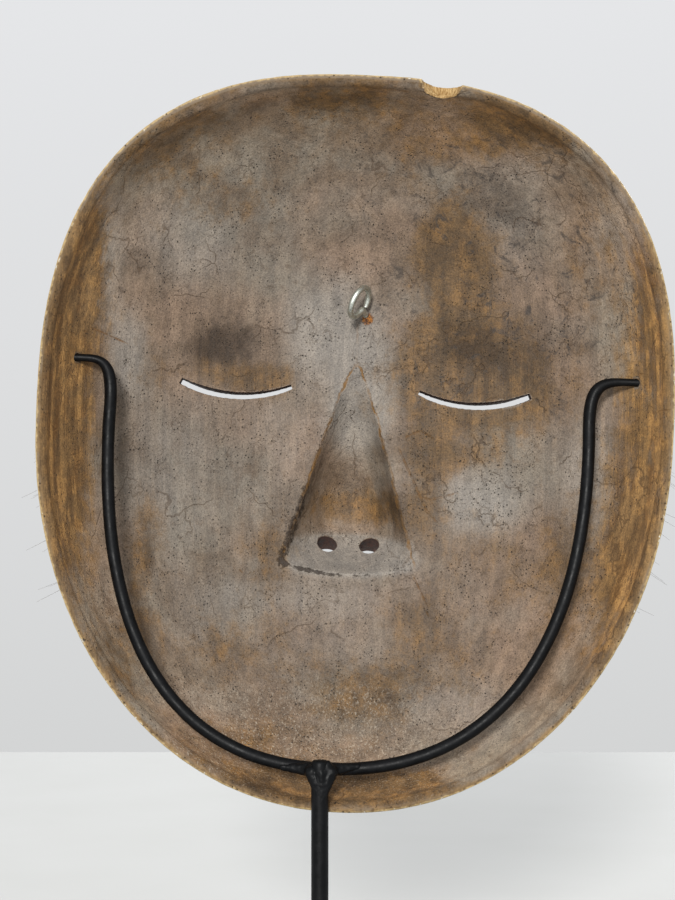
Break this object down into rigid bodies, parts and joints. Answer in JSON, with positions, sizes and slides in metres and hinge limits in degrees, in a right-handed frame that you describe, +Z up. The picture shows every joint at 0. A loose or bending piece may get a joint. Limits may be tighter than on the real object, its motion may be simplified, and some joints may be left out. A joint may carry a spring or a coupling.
{
  "type": "wooden theatre mask on a display stand",
  "caption": "Hollow carved wooden theatre mask with a closed-eyed face, hung by its tie holes on a bent-rod stand with a flat base.",
  "frame": {"origin": "centre of the felt underside of the base, on the table", "axes": "+Z up, the face looks along -Y, the open back of the mask along +Y"},
  "size_m": [0.2062, 0.12, 0.2832],
  "materials": {
    "carved_wood": "hand-carved, worn grey film over ochre wood inside, aged off-white paint outside",
    "zinc_wire": "dull zinc plate",
    "dark_hair": "coarse dark brown hair",
    "black_steel": "satin black paint",
    "plated_steel": "zinc plate",
    "grey_felt": "pressed wool felt"
  },
  "bodies": {
    "stand": {"yoke_rod": "black_steel", "weld_bead": "black_steel", "post": "black_steel", "post_collar": "black_steel", "base_plate": "black_steel", "washer": "plated_steel", "locking_nut": "plated_steel", "felt_pad": "grey_felt"},
    "mask": {"mask_shell": "carved_wood", "screw_eye": "zinc_wire", "left_whiskers": "dark_hair", "right_whiskers": "dark_hair"}
  },
  "joints": [
    {"name": "mask_tilt", "type": "hinge", "parent": "stand", "child": "mask", "pos_m": [-0.00096, -0.004, 0.2012], "axis": [0.999, 0, 0.0454], "range_deg": [-60, 0]}
  ]
}
